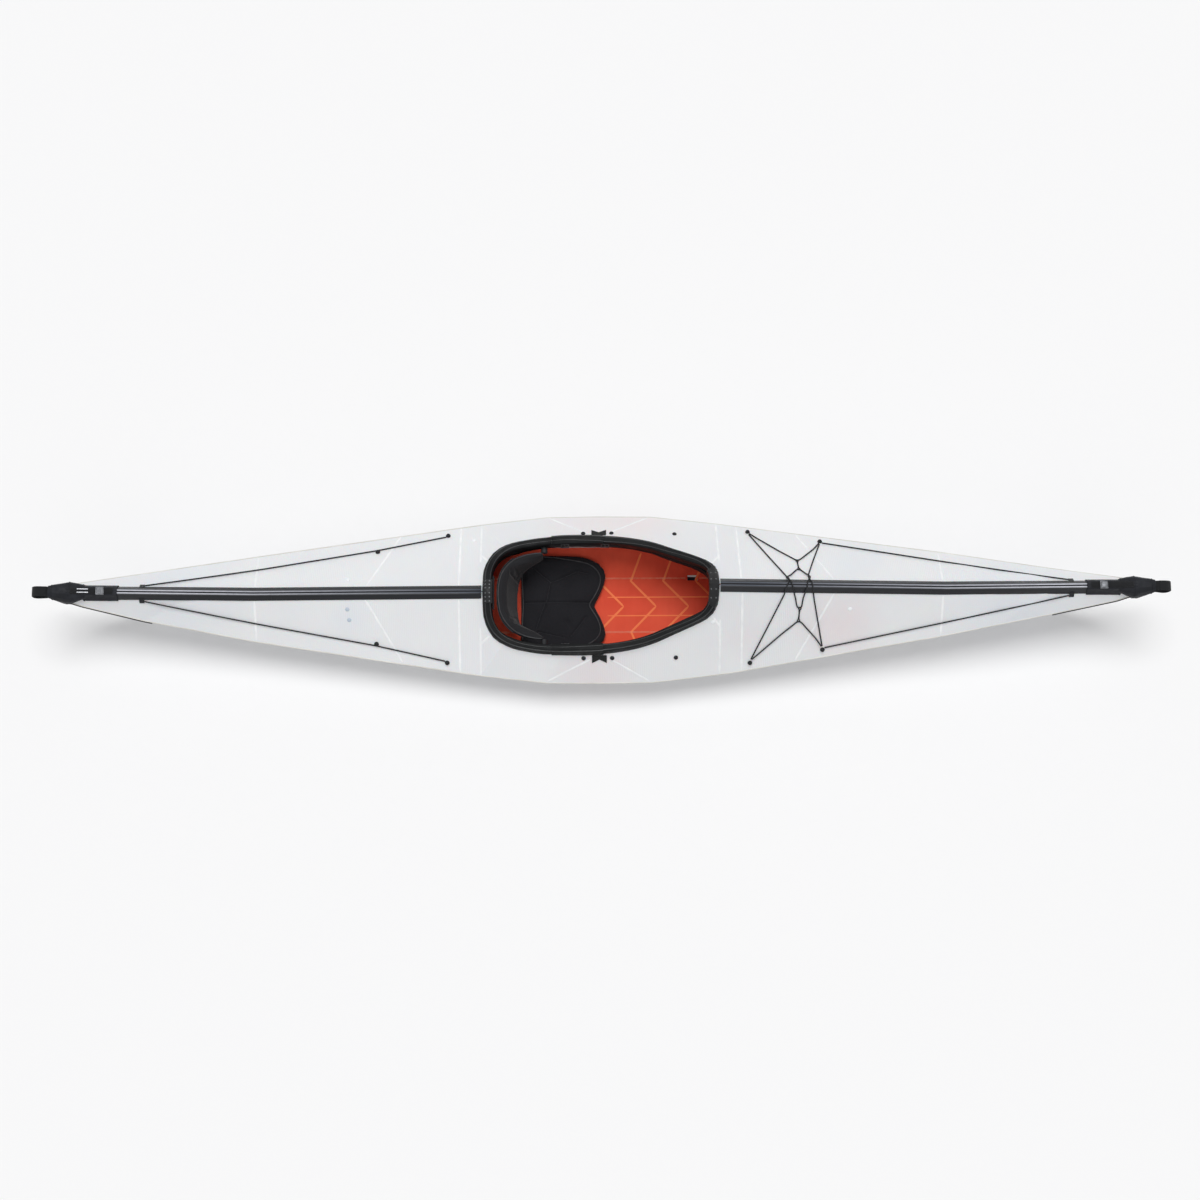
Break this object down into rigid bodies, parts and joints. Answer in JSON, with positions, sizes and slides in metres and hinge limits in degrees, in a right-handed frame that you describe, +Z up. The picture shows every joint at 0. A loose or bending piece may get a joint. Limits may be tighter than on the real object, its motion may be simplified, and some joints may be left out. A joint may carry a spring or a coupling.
{
  "type": "folding kayak",
  "caption": "Origami-style folding kayak: creased sheet hull gripped along its deck seam by rails, open cockpit with coaming, padded seat and back, red floorboard, end caps and deck bungees.",
  "frame": {"origin": "on the ground under the centre of the hull: the flat bottom of the hull rests at z = 0", "axes": "+X towards the bow, +Y to port (left when facing the bow), +Z up"},
  "size_m": [3.73, 0.57, 0.3701],
  "materials": {
    "sheet": "satin white folded sheet",
    "rail": "glossy black extrusion",
    "rubber": "matt black",
    "plastic": "fine grained black",
    "buckle": "grey, satin",
    "web": "woven black",
    "cord": "braided dark grey",
    "floor": "orange-red, fine ribs",
    "foam": "black padded fabric",
    "panel": "white corrugated sheet",
    "screw": "black, satin"
  },
  "bodies": {
    "hull": {"hull_sheet": "sheet", "stern_rail_aft": "rail", "stern_rail_fore": "rail", "bow_rail_aft": "rail", "bow_rail_fore": "rail", "coaming_rear": "rubber", "coaming_front": "rubber", "coaming_sleeve_port": "rubber", "coaming_sleeve_starboard": "rubber", "coaming_clamp_rear": "plastic", "coaming_clamp_front": "plastic", "screw_rear_port": "screw", "screw_middle_port": "screw", "screw_front_port": "screw", "knob_stern_mid_port": "plastic", "knob_stern_end_port": "plastic", "knob_bow_rear_port": "plastic", "knob_bow_front_port": "plastic", "side_tie_port": "web", "stern_line_port": "cord", "bow_line_port": "cord", "bow_cross_port": "cord", "cord_hook_port": "plastic", "screw_rear_starboard": "screw", "screw_middle_starboard": "screw", "screw_front_starboard": "screw", "knob_stern_mid_starboard": "plastic", "knob_stern_end_starboard": "plastic", "knob_bow_rear_starboard": "plastic", "knob_bow_front_starboard": "plastic", "side_tie_starboard": "web", "stern_line_starboard": "cord", "bow_line_starboard": "cord", "bow_cross_starboard": "cord", "cord_hook_starboard": "plastic", "lattice_cord_aft": "cord", "lattice_cord_fore": "cord", "centre_loop": "cord", "floorboard": "floor", "backrest_button_port": "plastic", "backrest_button_starboard": "plastic", "backrest_strap": "web", "footrest_strip": "web"},
    "bow_cap": {"bow_fairing": "rubber", "bow_handle": "web", "bow_strap": "web", "bow_buckle": "buckle"},
    "stern_cap": {"stern_fairing": "rubber", "stern_handle": "web", "stern_strap": "web", "stern_buckle": "buckle"},
    "bow_lever": {"bow_buckle_lever": "buckle"},
    "stern_lever": {"stern_buckle_lever": "buckle"},
    "seat": {"seat_pad": "foam"},
    "back": {"backrest_pad": "foam", "backrest_panel": "plastic"},
    "rear_prop": {"rear_bulkhead": "panel"},
    "front_prop": {"front_bulkhead": "panel"},
    "foot": {"footrest": "panel"}
  },
  "joints": [
    {"name": "bow_cap_slide", "type": "slide", "parent": "hull", "child": "bow_cap", "axis": [0.9917, 0, 0.1289], "range_m": [0, 0.12]},
    {"name": "stern_cap_slide", "type": "slide", "parent": "hull", "child": "stern_cap", "axis": [-0.9929, 0, 0.1191], "range_m": [0, 0.12]},
    {"name": "bow_lever_hinge", "type": "hinge", "parent": "bow_cap", "child": "bow_lever", "pos_m": [1.63086, 0, 0.32136], "axis": [0, -1, 0], "range_deg": [0, 60]},
    {"name": "stern_lever_hinge", "type": "hinge", "parent": "stern_cap", "child": "stern_lever", "pos_m": [-1.6485, 0, 0.30701], "axis": [0, -1, 0], "range_deg": [0, 60]},
    {"name": "seat_slide", "type": "slide", "parent": "hull", "child": "seat", "axis": [1, 0, 0], "range_m": [0, 0.05]},
    {"name": "back_tilt", "type": "hinge", "parent": "hull", "child": "back", "pos_m": [-0.19, 0, 0.18], "axis": [0, 1, 0], "range_deg": [-8, 18]},
    {"name": "rear_prop_fold", "type": "hinge", "parent": "hull", "child": "rear_prop", "pos_m": [-0.48, 0, 0.0054], "axis": [0, -1, 0], "range_deg": [0, 80]},
    {"name": "front_prop_fold", "type": "hinge", "parent": "hull", "child": "front_prop", "pos_m": [0.748, 0, 0.0079], "axis": [0, 1, 0], "range_deg": [0, 80]},
    {"name": "foot_slide", "type": "slide", "parent": "hull", "child": "foot", "axis": [1, 0, 0.0091], "range_m": [-0.07, 0.05]}
  ]
}
